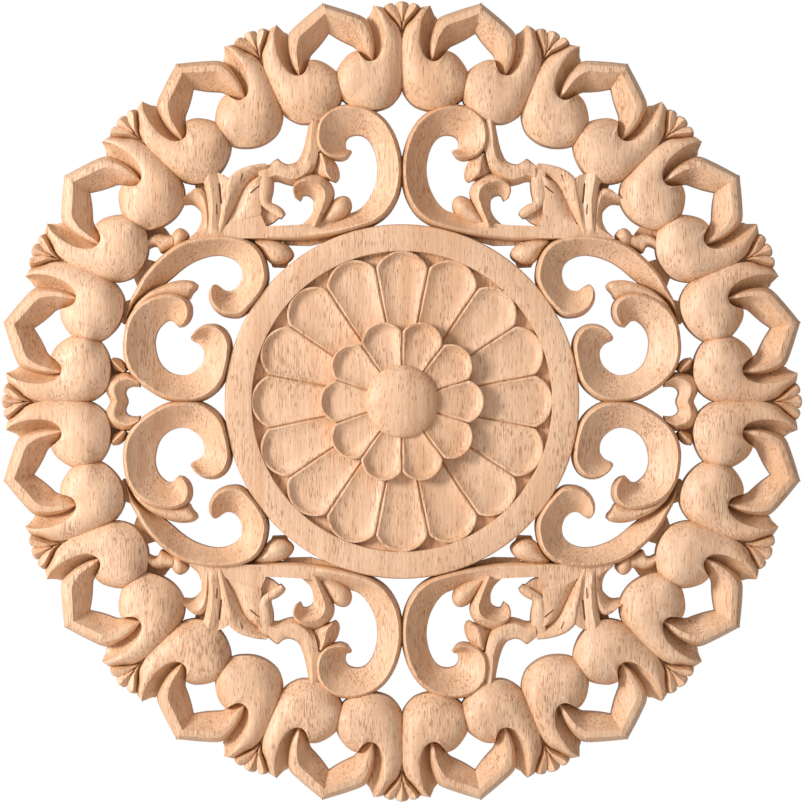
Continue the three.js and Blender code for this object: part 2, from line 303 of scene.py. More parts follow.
def scroll_section(start_run=0.0, end_run=0.0, level_until=0.0):
    """Across a scroll: a bevelled rim along its outer edge and a hollow that falls to
    its inner edge. Up to the share level_until along it, its top is level."""
    sizes = bpy.context.scene.carving

    def heights(width, along):
        lift = SCROLL_END + SCROLL_RISE * rise(along, start_run) * rise(1 - along, end_run)
        hollow = rise(max(along - level_until, 0), level_until)
        full = LEVEL_TAIL + (sizes.scroll - LEVEL_TAIL) * hollow
        floor = LEVEL_TAIL + (sizes.channel - LEVEL_TAIL) * hollow
        fit = min(1, RIM_SHARE * width / RIM_WIDTH)
        rows = []
        for offset, share in RIM:
            if offset > RIM_CREST:
                share = 1 - (1 - share) * hollow
            rows.append((offset * fit / width, (sizes.side + (full - sizes.side) * share) * lift))
        start, shoulder = rows[-1][0], max(rows[-1][1] / lift, floor)
        for share in (0.1, 0.24, 0.42, 0.62, 0.82, 1):
            height = floor + (shoulder - floor) * (1 - share) ** 1.25
            rows.append((start + (1 - start) * share, height * lift))
        return rows

    return heights


TIP_RUN = 0.2  # the share of a faceted form's length over which its tip sinks
ROOT_LEVEL = LEVEL_TAIL + 0.1


def facet_section(rows, end=1.0, root_run=0.0):
    """Across a form cut in facets, given as (share across, height). Over its first share
    root_run it rises out of the level root, and its tip sinks to the share end of its
    height."""

    def heights(width, along):
        lift = end + (1 - end) * rise(1 - along, TIP_RUN)
        root, risen = ROOT_LEVEL, rise(along, root_run)
        return [(share, root + (height * lift - root) * risen) for share, height in rows]

    return heights


CURL_BEVEL = 3.5  # width of the curl's bevel where it is full
CURL_RIDGE = 13.9
CURL_TIP_FALL = 1.6
CURL_FLOOR = 8.2


def curl_section(width, along):
    """Across the curl: a broad bevel, a sharp ridge and a hollow. The bevel grows from
    the root and narrows again towards the tip, where the ridge sinks."""
    side = bpy.context.scene.carving.side
    growth = min(1, 0.35 + 3 * along)
    taper = 1 - 0.7 * min(1, max(0, (along - 0.6) / 0.25))
    bevel = min(CURL_BEVEL * growth * taper, 0.5 * width) / width
    top = CURL_RIDGE - CURL_TIP_FALL * (1 - rise(1 - along, 0.15))
    rows = [(0, side), (0.05 * bevel, side + 2), (0.3 * bevel, side + 3.6)]
    rows += [(0.7 * bevel, top - 0.9), (bevel, top)]
    for share in (0.06, 0.2, 0.4, 0.65, 0.88, 1):
        height = CURL_FLOOR + (top - CURL_FLOOR) * (1 - share) ** 1.7
        rows.append((bevel + (1 - bevel) * share, height))
    return rows


LOBE_STEPS = 12
LOBE_CREST = 0.42  # how far across a lobe its crest lies
LOBE_END, LOBE_RISE = 0.66, 0.34  # shares of a lobe's height at its end and gained from there
LOBE_ROUND = 0.55


def lobe_section(height, start_run=0.0, end_run=0.0):
    """Across a lobe with round sides and a crest."""
    side = bpy.context.scene.carving.side

    def heights(width, along):
        lift = LOBE_END + LOBE_RISE * rise(along, start_run) * rise(1 - along, end_run)
        rows = []
        for i in range(LOBE_STEPS + 1):
            share = 0.5 - 0.5 * cos(pi * i / LOBE_STEPS)
            reach = share / LOBE_CREST if share < LOBE_CREST else (1 - share) / (1 - LOBE_CREST)
            rows.append((share, (side + (height - side) * round_over(reach, LOBE_ROUND)) * lift))
        return rows

    return heights


# One bulb with its neck and horn, drawn beside the middle line of a bud pair
BULB = [
    (7.1, 145.8, 10.6, 146.3), (5.8, 144.1, 8.9, 144.1), (3.7, 141.3, 7.7, 140.8), (1.5, 138.6, 6.9, 137.4),
    (0, 133.2, 6.7, 132.6), (-0.2, 126.6, 7.9, 128.2), (-0.2, 120.4, 9.9, 126.1), (0.2, 115, 12.2, 125.6),
    (3.7, 110.2, 14, 126.4), (7.6, 108.3, 15.6, 128.2), (11.4, 107.7, 16.8, 129.8),
    (15, 108.1, 19.7, 128.6), (18.4, 109.3, 22.1, 126.1), (21.3, 111, 24, 123), (23.1, 113, 24.7, 120.4),
    (23.9, 115.4, 24.5, 117.8),
]
# At each station the height of the bulb, of its edge over the limb and of the groove
BULB_HEIGHTS = [
    (11.6, 11.2, 9.8), (13.2, 12.8, 10), (14.3, 13.8, 10.6), (14.8, 14.4, 11.4), (15.1, 14.6, 12.2),
    (15.6, 14.9, 12.5), (16.2, 15, 12), (16.7, 14.9, 9.6), (17, 14.6, 7.8), (17.2, 13.2, 7.8),
    (17.2, 9, 7.8), (17.1, 8.2, 7.8), (16.6, 7.9, 7.8), (15.4, 7.8, 7.8), (12.6, 7.8, 7.8), (9, 7.8, 7.8),
]
NECK_END, NECK_RUN = 0.33, 0.15  # where the neck passes into the bulb, as shares of the length
SLOPE_STEPS, EDGE_STEPS = 7, 5  # points up the slope of a bulb and down its edge
# The hollow between a horn and the foot of an arch limb, its top edge, how far that falls
# at the start, and its floor
POCKET = [
    (10.2, 145.9, 10.9, 145.7), (8.6, 143.7, 12, 143), (7.4, 140.6, 13, 141.6), (6.6, 136.8, 11.9, 137),
    (6.4, 131.8, 11.4, 132.4), (7.7, 128.2, 11.4, 128.8), (9.7, 125.9, 11.4, 126),
]
POCKET_TOP, POCKET_FALL, POCKET_FLOOR = 13.4, 2.4, 7.4
# Half an arch, from its foot beside the bulb to its point
LIMB = [
    (10.4, 126.2, 12, 125.6), (9.9, 129.6, 14.4, 126.2), (10.1, 133.2, 16.2, 129.5),
    (11.1, 137.4, 17.6, 131.6), (13.4, 141.8, 20.4, 133), (19.6, 144.5, 23.7, 134.7),
    (29.7, 147.6, 27.7, 137.2),
]
# From a limb's outer edge up to its ridge: millimetres across and the share of its height
LIMB_BEVEL = ((0.5, 0.44), (1.2, 0.74), (2.1, 0.95), (2.6, 0.98), (4.4, 1.0))
LIMB_WIDTH = 10.5  # a narrower limb has its bevel narrowed with it
LIMB_DROP = 1.0  # how far the inner face ends below the sides
LIMB_FOOT_RUN, LIMB_FOOT_FALL = 0.35, 0.1  # length of the low foot and how much lower it is
# The crown's middle leaflet and one beside it, each from its root to its tip
CROWN_MIDDLE = [
    (-0.3, 140.4, 0.3, 140.4), (-1.1, 143.2, 1.1, 143.2), (-2.3, 145.8, 2.3, 145.8),
    (-2.3, 147.1, 2.3, 147.1), (-0.9, 147.9, 0.9, 147.9),
]
CROWN_SIDE = [
    (0.5, 136.8, -0.1, 137.3), (2, 139.4, 0.2, 140.4), (4.1, 141.9, 0.8, 143), (6, 144.2, 2.1, 145.4),
    (6.8, 145.8, 3.2, 146.9), (5.9, 146.9, 4.3, 147.3),
]
CROWN_FRONT = 1.7  # width of a side leaflet's steep front
CROWN_HEIGHTS = (9.4, 13.0, 13.4, 13.0, 12.0)  # from the foot of the front to the back edge
CROWN_ROOT, CROWN_RISE, CROWN_TIP_FALL = 0.78, 0.22, 0.14  # shares of a leaflet's height
CROWN_FACETS = [(0, 11.4), (0.08, 12), (0.46, 13.5), (0.54, 13.5), (0.92, 12), (1, 11.4)]
CROWN_END = 0.85  # share of its height that the middle leaflet keeps at its tip
# The web behind the leaflets and how far it rises above the sides
CROWN_WEB = [(-9, 145), (-5, 145), (0, 145.6), (5, 145), (9, 145), (6, 138), (0, 132), (-6, 138)]
CROWN_WEB_RISE = 1.2
# The dome of a bulb
DOME_MIDDLE = (12.2, 117.8)
DOME_RADIUS = 12.6
DOME_ROUND = 0.62


def dome(x, y, height):
    """Raises a bulb's surface to its dome."""
    sizes = bpy.context.scene.carving
    away = hypot(x - DOME_MIDDLE[0], y - DOME_MIDDLE[1]) / DOME_RADIUS
    return max(height, sizes.side + (sizes.bulb - sizes.side) * round_over(1 - away, DOME_ROUND))


def bulb_section(width, along):
    """Across a bulb and its neck: a broad slope up from the groove between the pair to
    a crest, then the edge over the limb's foot."""
    full, inner, groove = spline(BULB_HEIGHTS, along)
    full = max(full, inner)
    neck = 1 - min(max((along - NECK_END) / NECK_RUN, 0), 1)
    crest = 0.5 + 0.24 * neck
    power = DOME_ROUND + 0.3 * neck
    rows = []
    for i in range(SLOPE_STEPS + 1):
        share = sin(pi / 2 * i / SLOPE_STEPS) ** 1.3
        rows.append((share * crest, groove + (full - groove) * round_over(share, power)))
    for i in range(1, EDGE_STEPS + 1):
        share = sin(pi / 2 * i / EDGE_STEPS)
        rows.append((crest + (1 - crest) * share, inner + (full - inner) * round_over(1 - share)))
    return rows


def limb_section(width, along):
    """Across an arch limb: a bevel up to a sharp ridge and a steep inner face. Both sink
    a little towards its foot."""
    sizes = bpy.context.scene.carving
    fit = min(1, width / LIMB_WIDTH)
    foot = 1 - rise(along, LIMB_FOOT_RUN)
    side = sizes.side - LIMB_DROP * foot
    top = sizes.limb * (1 - LIMB_FOOT_FALL * foot)
    rows = [(0, side)]
    rows += [(offset * fit / width, side + (top - side) * share) for offset, share in LIMB_BEVEL]
    start = rows[-1][0]
    for share in (0.2, 0.45, 0.72, 1):
        height = sizes.side - LIMB_DROP + (top - sizes.side + LIMB_DROP) * (1 - share) ** 1.12
        rows.append((start + (1 - start) * share, height))
    return rows


def pocket_section(width, along):
    """Across the pocket: hollow, from under the horn's edge down to the limb."""
    top = POCKET_TOP - POCKET_FALL * (1 - rise(along, 0.25))
    rows = []
    for share in (0, 0.06, 0.16, 0.3, 0.46, 0.64, 0.82, 1):
        rows.append((share, POCKET_FLOOR + (top - POCKET_FLOOR) * (1 - share) ** 1.9))
    return rows


def crown_section(width, along):
    """Across a crown's side leaflet: a steep front towards the horn and a gentle back."""
    front = min(0.62, CROWN_FRONT / width)
    lift = CROWN_ROOT + CROWN_RISE * rise(along, 0.35) - CROWN_TIP_FALL * (1 - rise(1 - along, TIP_RUN))
    shares = (0, front * 0.9, front, front + 0.5 * (1 - front), 1)
    return [(share, height * lift) for share, height in zip(shares, CROWN_HEIGHTS)]


# The forms on each side of a bud pair: name, outline, steps along it, section and lift
RING_FORMS = (
    ("bulb", BULB, 38, bulb_section, dome),
    ("pocket", POCKET, 14, pocket_section, None),
    ("limb", LIMB, 22, limb_section, None),
    ("crown", CROWN_SIDE, 10, crown_section, None),
)


def ring_motif():
    """A bud pair with its crown, and the limbs of the arches beside it."""
    sizes = bpy.context.scene.carving
    meshes = []
    for across in (1, -1):
        for name, stations, steps, section, lift in RING_FORMS:
            meshes.append(mesh_of(name, band(stations, steps, section, lift), across))
    meshes.append(mesh_of("crown", band(CROWN_MIDDLE, 10, facet_section(CROWN_FACETS, CROWN_END))))
    meshes.append(mesh_of("crown", plate(CROWN_WEB, sizes.side + CROWN_WEB_RISE)))
    return joined("motif", meshes)


def turned_copies_tree():
    """Geometry nodes that set copies of a piece round the origin and join them. Every
    second copy goes into each of two sets, so that only neighbours are joined."""
    tree = bpy.data.node_groups.new("Turned copies", "GeometryNodeTree")
    nodes, link, declare = tree.nodes, tree.links.new, tree.interface.new_socket
    declare(name="Geometry", in_out="OUTPUT", socket_type="NodeSocketGeometry")
    identifiers = []
    for name, kind in (
        ("Geometry", "Geometry"), ("Piece", "Object"), ("Count", "Int"), ("Phase", "Float"),
        ("Material", "Material"),
    ):
        declared = declare(name=name, in_out="INPUT", socket_type="NodeSocket" + kind)
        identifiers.append(declared.identifier)

    def node(kind, **settings):
        made = nodes.new(kind)
        for key, value in settings.items():
            setattr(made, key, value)
        return made

    def maths(operation, a, b):
        made = node("ShaderNodeMath", operation=operation)
        for socket, value in zip(made.inputs, (a, b)):
            if isinstance(value, (int, float)):
                socket.default_value = value
            else:
                link(value, socket)
        return made.outputs[0]

    group = node("NodeGroupInput")
    source = node("GeometryNodeObjectInfo")
    link(group.outputs["Piece"], source.inputs["Object"])
    points = node("GeometryNodeMeshLine")
    link(group.outputs["Count"], points.inputs["Count"])
    points.inputs["Offset"].default_value = (0, 0, 0)
    index = node("GeometryNodeInputIndex").outputs[0]
    share = maths("DIVIDE", index, group.outputs["Count"])
    turn = maths("ADD", maths("MULTIPLY", share, 2 * pi), group.outputs["Phase"])
    angles = node("ShaderNodeCombineXYZ")
    link(turn, angles.inputs["Z"])
    rotation = node("FunctionNodeEulerToRotation")
    link(angles.outputs[0], rotation.inputs[0])
    odd = maths("MODULO", index, 2)
    merge = node("GeometryNodeMeshBoolean", operation="UNION", solver="MANIFOLD")
    for chosen in (odd, maths("SUBTRACT", 1, odd)):
        copies = node("GeometryNodeInstanceOnPoints")
        link(points.outputs[0], copies.inputs["Points"])
        link(chosen, copies.inputs["Selection"])
        link(source.outputs["Geometry"], copies.inputs["Instance"])
        link(rotation.outputs[0], copies.inputs["Rotation"])
        real = node("GeometryNodeRealizeInstances")
        link(copies.outputs[0], real.inputs[0])
        link(real.outputs[0], merge.inputs["Mesh 2"])
    whole = node("GeometryNodeRealizeInstances")
    link(merge.outputs[0], whole.inputs[0])
    paint = node("GeometryNodeSetMaterial")
    link(whole.outputs[0], paint.inputs["Geometry"])
    link(group.outputs["Material"], paint.inputs["Material"])
    link(paint.outputs[0], node("NodeGroupOutput").inputs[0])
    return tree, identifiers[1:]


def turned_copies(name, mesh, count, phase):
    """A closed mesh of count copies of a piece, turned about the centre and joined."""
    piece = temporary(name, mesh)
    host = temporary(name, bpy.data.meshes.new(name))
    tree, sockets = turned_copies_tree()
    maker = host.modifiers.new("Turned copies", "NODES")
    maker.node_group = tree
    for socket, value in zip(sockets, (piece, count, phase, wood())):
        maker[socket] = value
    result = evaluated_mesh(host)
    bpy.data.objects.remove(host)
    bpy.data.objects.remove(piece)
    return result


# Forms of one quarter of the field between the ring and the rosette, drawn at the upper
# right, each from its root to its tip
TOP_SCROLL = [
    (67.4, 60.8, 66, 64.4), (57, 59.9, 56, 64.6), (48, 59.5, 47, 64.9), (38, 59.6, 38.5, 65.3),
    (29, 60.6, 31, 66.2), (22, 61.9, 24.5, 67.6), (15, 63.7, 19, 69.8), (9.6, 65.8, 15.8, 71.2),
    (5, 69.4, 13.2, 73.8), (1.6, 75, 11, 77.6), (0, 81, 9.6, 81.6), (-0.3, 87, 9, 86.5),
    (0.6, 93, 9.8, 91.8), (2.8, 99.5, 11.6, 96), (6.6, 105, 13.8, 98.2), (12.4, 108.8, 16, 98.9),
    (19.2, 110.1, 18, 98.8), (26.2, 108.7, 19.8, 98.1), (30.9, 104.2, 20.9, 96.6), (32.2, 98.4, 21, 95),
    (31.4, 94, 20.5, 93.6), (28.8, 91, 19.8, 93.2), (25.4, 89.7, 19.2, 93.2), (22.2, 89.3, 18.8, 92.9),
    (20, 90.3, 18.7, 92.3),
]
STEM = [
    (34.5, 105.6, 31, 106.6), (34.7, 102, 31, 102), (35.3, 98.6, 31.2, 97.6), (36.2, 94.6, 30.8, 93.2),
    (37.4, 91.2, 31.6, 88.8), (38.9, 88.9, 33, 84.8), (41.6, 87.8, 36.4, 81.4), (43.5, 88.1, 40.2, 80.2),
    (44.9, 89, 43.4, 80.8), (46.3, 89.8, 46.2, 81.7), (49.6, 87.2, 49.2, 81.4),
]
# Across the stem: the share, the height on its upright part and the height on its arm
STEM_ROWS = (
    (0, 8.6, 9.8), (0.1, 10.2, 12.6), (0.36, 13, 13.2), (0.46, 13.5, 13.2), (0.76, 13.2, 12.9),
    (0.9, 12.9, 10.4), (1, 12.6, 8.2),
)
ARM_START, ARM_RUN = 0.42, 0.2  # where along the stem its arm starts and how soon it is full
CURL = [
    (31, 64.4, 37.4, 65.2), (28.6, 68.6, 34.4, 68), (26.4, 72.6, 33, 70.8), (25.2, 76.2, 32.8, 73),
    (25.6, 79.4, 33, 74.8), (27.4, 82, 33.8, 75.8), (30.4, 83.8, 34.8, 76.3), (34, 84.4, 35.7, 76.5),
    (37.4, 83.4, 36.7, 76.3), (39.8, 81, 37.1, 75.6), (40.4, 78, 37.5, 74.9), (39.6, 75.6, 37.9, 74.3),
]
SIDE_SCROLL = [
    (70.4, 42.8, 69.3, 43.5), (71.4, 40.6, 68.2, 42.9), (71.4, 37.6, 67.1, 42.1), (69.9, 34.4, 66, 41.3),
    (67, 32, 64.7, 41), (63.2, 31, 63.2, 41.1), (59.4, 31.4, 61.7, 41.9), (55.6, 34.6, 60.4, 43.3),
    (52, 39, 59.7, 44.9), (49.6, 44, 59.3, 46.8), (49.6, 49, 59.6, 49.2), (51.2, 54.5, 60.6, 51.2),
    (54.7, 58.6, 62.3, 52.7), (60, 60.9, 64.8, 53.8), (66, 61.8, 67.5, 54.3), (72, 61.5, 70.5, 54.1),
    (78, 60.4, 74, 53.2), (83.4, 58.2, 78, 51.5), (88.4, 54.5, 81.7, 49), (92.8, 50.2, 85.2, 46),
    (96.3, 45.9, 89, 43), (99.1, 40.7, 94, 40), (101.2, 36.5, 98.3, 36.3), (102.5, 31, 101.2, 30.6),
]
SIDE_SHELL = [
    (81, 27.7, 82.6, 27.4), (79.2, 29.2, 83.7, 28.5), (77.9, 32, 84.6, 29.5), (78, 35.5, 85.6, 30),
    (80, 38.5, 86.5, 30), (84, 40.2, 87.3, 29.7), (89, 39.9, 88.2, 29.1), (94.5, 38, 89.4, 28),
    (99, 34.5, 90.4, 26.6), (101.8, 30, 91.2, 24.8), (103.1, 24, 91.7, 22), (103.3, 18, 91.4, 19),
    (101.7, 12.3, 90.6, 16), (98.3, 7.6, 89.4, 13.7), (93.5, 3.8, 87.6, 11.8), (87.5, 0.6, 85.3, 10.4),
    (80.5, -0.5, 82.6, 9.7), (74, 0.2, 80, 9.8), (69, 3.2, 77.5, 10.8), (65.8, 7.2, 75.4, 12.4),
    (64.2, 12, 74, 14.3), (63.2, 17.5, 73.3, 16.6), (63.2, 22.2, 73.4, 18.8), (65.3, 26.5, 74.2, 20.2),
    (69, 28.7, 75.3, 21.4), (73, 28.5, 76.6, 22.1), (76.3, 26.4, 77.6, 22.5), (78.1, 24.2, 78.3, 23.1),
]
HUSK_HEIGHT, HOOK_HEIGHT = 12.4, 11.6
HUSK = [
    (75.6, 43, 75.9, 41.8), (77.5, 44.5, 77.6, 40), (81, 45, 79.3, 37.8), (85, 44.4, 84.5, 38.6),
    (89, 42.9, 89.5, 38), (93.5, 40.6, 94, 36.4), (98, 36.6, 97.6, 33.4), (101, 32, 100.6, 30.4),
]
SIDE_LOBE = [
    (97.6, 8.4, 97, 5.4), (101.6, 10.8, 99.6, 5.6), (104.4, 10.5, 101.2, 5.2), (107, 9.7, 102.2, 4.4),
    (109, 8, 102.6, 3.2), (109.8, 5.6, 102.3, 2), (109.3, 3, 101.9, 1), (108.2, 0.8, 101.8, 0),
    (107.9, -0.5, 101.8, -0.5),
]
SIDE_LOBE_FACETS = [(0, 8.6), (0.08, 10.4), (0.4, 13.2), (0.48, 13.1), (1, 9.4)]
SMALL_HOOK = [
    (84.8, 61.6, 84.6, 57), (87.4, 61.6, 86.6, 56.2), (89.4, 62.2, 89.2, 55), (92.2, 61.6, 90.4, 57),
    (94.2, 60, 92.2, 57.5), (97, 57.6, 95.4, 55.8),
]
# The leaf's lobes, each from its root to its tip with its facets
LEAF = [
    ([
        (48.6, 87.4, 53, 87.4), (48.1, 84, 53, 84), (47.7, 80.8, 53, 80.5), (47.9, 77.8, 53, 77.4),
        (48.5, 75.4, 52.8, 75), (48.6, 74, 52.2, 73.2), (47.8, 73.3, 51.2, 71.8), (46.4, 72.8, 49.7, 70.7),
        (45, 71.9, 47.9, 69.5), (43.9, 70.8, 46.3, 68.4), (43.3, 69.4, 44.7, 67.8),
    ], [(0, 10.6), (0.05, 11.6), (0.15, 12.5), (0.3, 13), (0.5, 13.3), (0.7, 13.2), (0.86, 13), (1, 12.7)]),
    ([
        (53, 68.6, 64.4, 65.8), (52, 69.8, 62.8, 69.2), (52, 72.5, 61.5, 72.4), (52, 75.5, 60.1, 75.4),
        (52, 78.6, 58.4, 78.6), (52, 81, 56.2, 81.3), (51.8, 83, 53, 83.4),
    ], [(0, 12.7), (0.15, 13), (0.5, 13.1), (0.66, 12.7), (0.84, 11.7), (1, 10.2)]),
    ([
        (66.8, 61.8, 67.7, 62), (64.8, 65.2, 66.8, 65.6), (63.4, 68.4, 66.2, 69), (62, 71.4, 65.5, 73),
        (60.3, 75, 64.8, 77), (58.6, 78.4, 64.4, 80.4), (56.4, 81.2, 63.6, 82.9), (54, 82.9, 60, 85.7),
        (51.6, 84.2, 55, 87.3), (49.4, 85.2, 50.2, 87.9),
    ], [(0, 10), (0.06, 11.2), (0.4, 13.1), (0.72, 14.2), (0.88, 14.2), (1, 13.6)]),
    ([
        (67.5, 61.8, 68.2, 61.8), (66.6, 65.6, 67.9, 65.4), (65.8, 69, 67.3, 69), (64.9, 73, 67, 73),
        (64.2, 77, 67.3, 77), (64.1, 80.4, 67.8, 80.6), (64.6, 82.9, 68.2, 83.2), (66.6, 84, 68.4, 84.6),
    ], [(0, 13.6), (0.3, 13.6), (0.7, 13.1), (1, 12.8)]),
    ([
        (68, 61.8, 72.2, 61.4), (67.6, 65.4, 71.9, 64.8), (67, 69, 71.9, 69), (66.7, 73, 72.1, 73),
        (67, 77, 72.4, 77), (67.4, 80.6, 73, 80), (67.8, 83.4, 73.6, 82), (69, 85.2, 72.2, 84.2),
    ], [(0, 12.8), (0.12, 13.3), (0.35, 13.8), (0.6, 14.2), (0.74, 13.6), (1, 11.6)]),
    ([
        (70.6, 62.4, 78.2, 60.8), (71, 64.4, 75.6, 63.4), (71.3, 67, 74.3, 66.6), (71.5, 70, 74.3, 69.8),
        (71.7, 73, 75.5, 71.5), (72.2, 76, 77, 72.8), (74, 78.6, 78.6, 73.2), (76.6, 78.7, 80.4, 73),
        (79.2, 76.8, 81.6, 73.4), (80.8, 75.4, 82, 74.2),
    ], [(0, 11.4), (0.1, 12.3), (0.25, 12.9), (0.5, 12.1), (0.78, 9.8), (1, 7.8)]),
]
# Knife slits in the leaf, each from one end to the other with the height of its floor
LEAF_SLITS = [
    (52.2, 80, 56.4, 76.6, 12), (58.6, 84.3, 60, 80.6, 12.6), (67.5, 81, 66.7, 72.6, 11.4),
    (68.4, 73.2, 68.2, 68.4, 12.6),
]
SLIT_WIDTH = 0.75
SLIT_POINT = 0.9  # length of a slit's pointed end
SLIT_FLOOR = 0.3  # share of its width that a slit has at its floor
SLIT_SLOPE = 1.4  # height in which it widens
LEAF_ROOT_RUN = 0.3  # share of a lobe's length over which it rises out of the leaf's root
# The level root of the leaf, the hollow under its first lobe and the ground of the rest
LEAF_BASE = [
    (49.6, 60.4), (72, 60), (79, 60), (76.4, 61.6), (73.6, 63.4), (70.8, 63.4), (67, 63.2), (65.6, 64.8),
    (63, 66.6), (59, 68.6), (52.4, 69.6), (50.6, 65.6),
]
LEAF_HOLLOW = [(45.6, 68), (51.4, 72.6), (53, 69.4), (50.6, 64.8), (47.8, 66.2)]
LEAF_HOLLOW_DROP = 2
LEAF_GROUND = [(50, 86), (57, 84), (64, 82), (70, 84), (73, 79), (73.5, 68), (76, 62), (60, 61), (52, 66)]
LEAF_GROUND_RISE = 4.8  # above the webs
# Ridged buds, each from its root to its tip
RIDGED = [
    [
        (28.4, 91.8, 31.8, 91.8), (26.2, 90.4, 32.6, 89.6), (24.4, 88.2, 33.2, 87),
        (23.4, 85.4, 33.4, 84.6), (23.3, 83.4, 31.4, 83.2), (23.9, 82, 28.4, 82.6),
        (24.8, 81.2, 26.2, 81.8),
    ],
    [
        (101.9, 11.6, 103.4, 10.4), (102.6, 13.4, 105, 10.9), (103.8, 15, 106.6, 11.8),
        (105.2, 15.9, 107.6, 13.2), (106.6, 16.2, 107.8, 14.8),
    ],
]
RIDGED_FACETS = [(0, 8.4), (0.06, 9.8), (0.46, 13.3), (0.54, 13.1), (0.8, 9.8), (1, 8)]
RIDGED_END = 0.85  # share of its height that a ridged bud keeps at its tip
# Round buds: outline, place of the top and height
BUDS = [
    ([
        (31, 65), (28.4, 69.8), (26.4, 73), (24.6, 75.2), (21.8, 76.2), (19.6, 75.4), (18.7, 73),
        (19.2, 70.4), (21, 68.2), (25.4, 65.6),
    ], (23, 71.6), 12.6),
    ([
        (79.1, 60.8), (79.9, 63), (81.6, 64.2), (83.2, 63.9), (84.6, 62.6), (85.4, 60.6), (85, 57.4),
        (82.2, 57.4),
    ], (82.4, 60.6), 12.4),
    ([
        (40.2, 54.2), (41.4, 56.9), (44, 58.8), (50, 60.2), (54.8, 59.6), (52.6, 56.6), (50.6, 53.4),
        (49, 51.6), (46.8, 50.7), (44.2, 50.8), (41.8, 52),
    ], (46.6, 55), 13.4),
]
# The strip between the top scroll's head and the stem
STEM_FILLET = [(30.4, 92.4), (33, 92.4), (33.4, 97), (33.2, 102), (32.4, 105.6), (29.6, 107), (31.4, 102)]
STEM_FILLET_RISE = 0.2  # above the level tails
# Low webs that close the blind hollows
WEBS = [
    [(30.2, 95.6), (27, 82), (36, 82), (34.6, 95.6)],
    [(90, 51.5), (95, 53), (99.5, 46), (98, 42), (94, 47)],
    [(100, 38), (102.5, 37.2), (105.5, 31), (103.2, 28.6), (100, 30)],
    [(84, 59), (88, 64.5), (97, 67), (98, 56), (92, 58.5)],
    [(102, 9), (107, 16.4), (111, 12), (109, 6)],
    [(69, 75), (70, 84), (77, 81), (76, 77)],
    [(22, 62), (44, 61), (44, 58), (33.8, 57.8), (29.4, 59)],
    [(43, 49.6), (48, 49.8), (49.4, 53), (41, 54)],
    [(46, 61), (60, 61.5), (58.4, 58), (52, 56.6), (50, 58)],
]


def slits(lines):
    """Wedges that cut knife slits, pointed at both ends."""
    vertices, faces = [], []
    for ax, ay, bx, by, floor in lines:
        length = hypot(bx - ax, by - ay)
        along = ((bx - ax) / length, (by - ay) / length)
        start = len(vertices)
        for spread, height in ((SLIT_FLOOR, floor), (1, floor + SLIT_SLOPE), (1, DRAWN_THICKNESS)):
            across = (SLIT_WIDTH / 2 * spread * along[1], -SLIT_WIDTH / 2 * spread * along[0])
            near, far = SLIT_POINT, length - SLIT_POINT
            for place, hand in ((0, 0), (near, 1), (far, 1), (length, 0), (far, -1), (near, -1)):
                x = ax + along[0] * place + across[0] * hand
                y = ay + along[1] * place + across[1] * hand
                vertices.append((x, y, height))
        faces.append(tuple(start + k for k in range(6)))
        faces.append(tuple(start + 12 + k for k in range(6)))
        for row in (0, 6):
            for k in range(6):
                m = (k + 1) % 6
                faces.append(tuple(start + row + j for j in (k, m, m + 6, k + 6)))
    return vertices, faces


def stem_section(width, along):
    """Across the stem. It slopes to the outer side at first and on its arm to the lower one."""
    arm = round_over((along - ARM_START) / ARM_RUN, 1)
    return [(share, upright + (level - upright) * arm) for share, upright, level in STEM_ROWS]


def quarter_forms():
    """The forms of one quarter of the field, each with its steps along it."""
    sizes = bpy.context.scene.carving
    forms = [
        band(TOP_SCROLL, 76, scroll_section(0, 0.05, 0.14)),
        band(STEM, 36, stem_section),
        band(CURL, 40, curl_section),
        band(SIDE_SCROLL, 76, scroll_section(0.05, 0.25)),
        band(SIDE_SHELL, 86, scroll_section(0.04, 0.05)),
        band(HUSK, 26, lobe_section(HUSK_HEIGHT, 0.15, 0.2)),
        band(SIDE_LOBE, 24, facet_section(SIDE_LOBE_FACETS)),
        band(SMALL_HOOK, 16, lobe_section(HOOK_HEIGHT)),
        plate(STEM_FILLET, LEVEL_TAIL + STEM_FILLET_RISE),
        plate(LEAF_BASE, LEVEL_TAIL),
        plate(LEAF_HOLLOW, LEVEL_TAIL - LEAF_HOLLOW_DROP),
        plate(LEAF_GROUND, sizes.web + LEAF_GROUND_RISE),
    ]
    forms += [band(stations, 22, facet_section(rows, root_run=LEAF_ROOT_RUN)) for stations, rows in LEAF]
    ridge = facet_section(RIDGED_FACETS, RIDGED_END)
    forms += [band(stations, 20, ridge) for stations in RIDGED]
    forms += [mound(outline, 28, top, dome_section(sizes.side, height)) for outline, top, height in BUDS]
    forms += [plate(outline, sizes.web) for outline in WEBS]
    return forms


def field_meshes():
    """The four mirrored quarters of the field, each one closed mesh."""
    forms = quarter_forms()
    quarters = []
    for across, up in ((1, 1), (-1, -1), (1, -1), (-1, 1)):
        cutter = mesh_of("slits", slits(LEAF_SLITS), across, up)
        quarters.append(joined("quarter", [mesh_of("form", form, across, up) for form in forms], cutter))
    return quarters


BAND_RADIUS = 65.5
BAND_WIDTH = 10.0
BAND_SEGMENTS = 160
RECESS_WIDTH = 9.0  # how far the ground reaches in under the petals
BOSS_RADIUS = 13.5
BOSS_FOOT = 14.6
BOSS_SEGMENTS, BOSS_RINGS = 72, 14
BOSS_EYE = 0.02  # radius of the smallest ring, at the boss's top and foot
